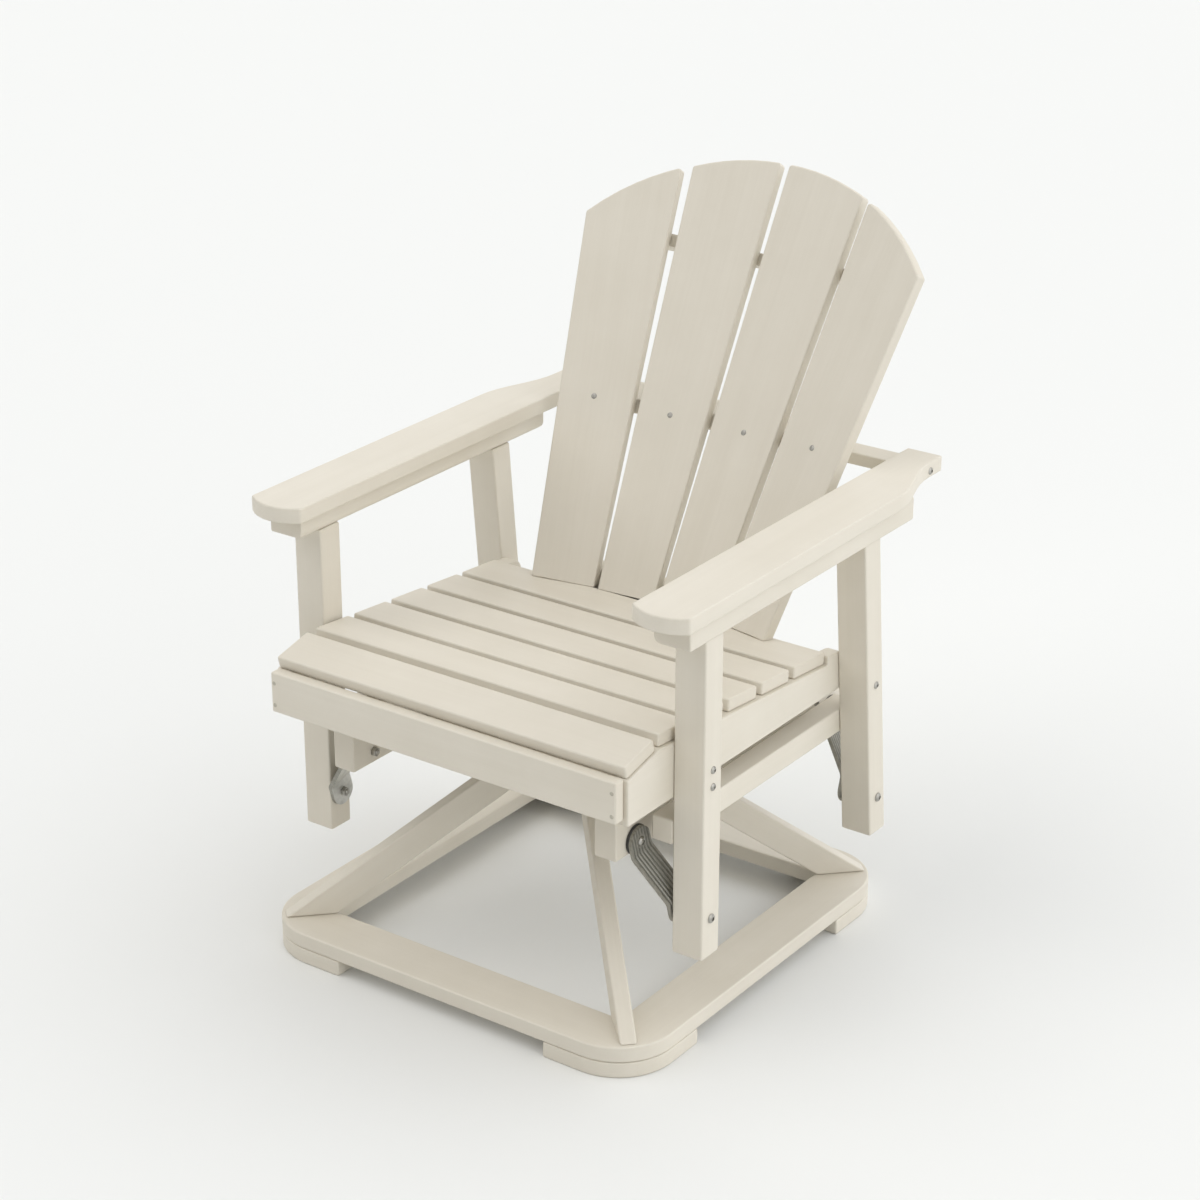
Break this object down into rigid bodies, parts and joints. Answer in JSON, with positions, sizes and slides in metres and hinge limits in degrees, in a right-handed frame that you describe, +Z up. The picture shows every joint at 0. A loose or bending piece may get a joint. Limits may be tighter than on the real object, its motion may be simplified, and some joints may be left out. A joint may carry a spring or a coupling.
{
  "type": "swivel patio chair",
  "caption": "Outdoor armchair of thick boards with a fanned, reclined slat back, hung from a turning carriage on swing arms, so that it both glides and swivels on a square ring base.",
  "frame": {"origin": "on the floor, under the middle of the chair's bounding box in X and Y at rest", "axes": "+Z up; the chair faces -Y; +X is the right-hand side of the chair seen from in front; the swivel axis is the vertical line x = 0, y = -0.1064"},
  "size_m": [0.77, 0.9127, 1.0799],
  "materials": {
    "lumber": "sand-coloured solid plastic lumber, satin, very faint lengthwise grain",
    "swing_arm_steel": "dull grey metal bar, lightly fluted along its length",
    "bolt_steel": "plain bright pivot bolts",
    "swivel_steel": "zinc-plated sheet",
    "bearing_steel": "polished balls in their cage"
  },
  "bodies": {
    "base": {"corner_pad_front_left": "lumber", "corner_pad_front_right": "lumber", "corner_pad_rear_left": "lumber", "corner_pad_rear_right": "lumber", "diagonal_leg_front_left": "lumber", "diagonal_leg_front_right": "lumber", "diagonal_leg_rear_left": "lumber", "diagonal_leg_rear_right": "lumber", "ring_rail_front": "lumber", "ring_rail_left": "lumber", "ring_rail_rear": "lumber", "ring_rail_right": "lumber", "hub_plate": "lumber", "lower_swivel_plate": "swivel_steel"},
    "ball_ring": {"swivel_ball_ring": "bearing_steel"},
    "carriage": {"upper_swivel_plate": "swivel_steel", "mounting_board": "lumber", "carriage_cross_board": "lumber", "carriage_rail_left": "lumber", "carriage_rail_right": "lumber", "upper_pivot_bolt_front_left": "bolt_steel", "upper_pivot_bolt_front_right": "bolt_steel", "upper_pivot_bolt_rear_left": "bolt_steel", "upper_pivot_bolt_rear_right": "bolt_steel"},
    "swing_arm_front_right": {"swing_arm_front_right": "swing_arm_steel"},
    "swing_arm_front_left": {"swing_arm_front_left": "swing_arm_steel"},
    "swing_arm_rear_right": {"swing_arm_rear_right": "swing_arm_steel"},
    "swing_arm_rear_left": {"swing_arm_rear_left": "swing_arm_steel"},
    "seat": {"arm_cross_rail": "lumber", "arm_left": "lumber", "arm_right": "lumber", "back_slat_1": "lumber", "back_slat_2": "lumber", "back_slat_3": "lumber", "back_slat_4": "lumber", "bottom_back_batten": "lumber", "front_apron": "lumber", "front_leg_left": "lumber", "front_leg_right": "lumber", "lower_back_batten": "lumber", "lower_pivot_bolt_front_left": "bolt_steel", "lower_pivot_bolt_front_right": "bolt_steel", "lower_pivot_bolt_rear_left": "bolt_steel", "lower_pivot_bolt_rear_right": "bolt_steel", "rear_leg_left": "lumber", "rear_leg_right": "lumber", "rear_seat_rail": "lumber", "seat_slat_0": "lumber", "seat_slat_1": "lumber", "seat_slat_2": "lumber", "seat_slat_3": "lumber", "seat_slat_4": "lumber", "seat_slat_5": "lumber", "side_rail_left": "lumber", "side_rail_right": "lumber", "stretcher_left": "lumber", "stretcher_right": "lumber", "underarm_left": "lumber", "underarm_right": "lumber", "upper_back_batten": "lumber"}
  },
  "joints": [
    {"name": "swivel", "type": "hinge", "parent": "base", "child": "carriage", "pos_m": [0, -0.1064, 0.2876], "axis": [0, 0, 1], "continuous": true},
    {"name": "ball_ring_turn", "type": "hinge", "parent": "base", "child": "ball_ring", "pos_m": [0, -0.1064, 0.2876], "axis": [0, 0, 1], "continuous": true},
    {"name": "glide", "type": "hinge", "parent": "carriage", "child": "swing_arm_front_right", "pos_m": [0.2646, -0.3244, 0.315], "axis": [1, 0, 0], "range_deg": [-15, 15]},
    {"name": "glide_front_left", "type": "hinge", "parent": "carriage", "child": "swing_arm_front_left", "pos_m": [-0.2646, -0.3244, 0.315], "axis": [1, 0, 0], "range_deg": [-15.1, 15.1]},
    {"name": "glide_rear_right", "type": "hinge", "parent": "carriage", "child": "swing_arm_rear_right", "pos_m": [0.2646, 0.1956, 0.315], "axis": [1, 0, 0], "range_deg": [-15.5, 15.5]},
    {"name": "glide_rear_left", "type": "hinge", "parent": "carriage", "child": "swing_arm_rear_left", "pos_m": [-0.2646, 0.1956, 0.315], "axis": [1, 0, 0], "range_deg": [-15.5, 15.5]},
    {"name": "seat_hang", "type": "hinge", "parent": "swing_arm_front_right", "child": "seat", "pos_m": [0.3117, -0.29341, 0.20904], "axis": [1, 0, 0], "range_deg": [-17.5, 17.5]}
  ],
  "couplings": [
    {"joint": "ball_ring_turn", "follows": "swivel", "ratio": 0.5},
    {"joint": "glide_front_left", "follows": "glide", "ratio": 1},
    {"joint": "glide_rear_right", "follows": "glide", "ratio": 1.015},
    {"joint": "glide_rear_left", "follows": "glide", "ratio": 1.015},
    {"joint": "seat_hang", "follows": "glide", "ratio": -1.143}
  ]
}
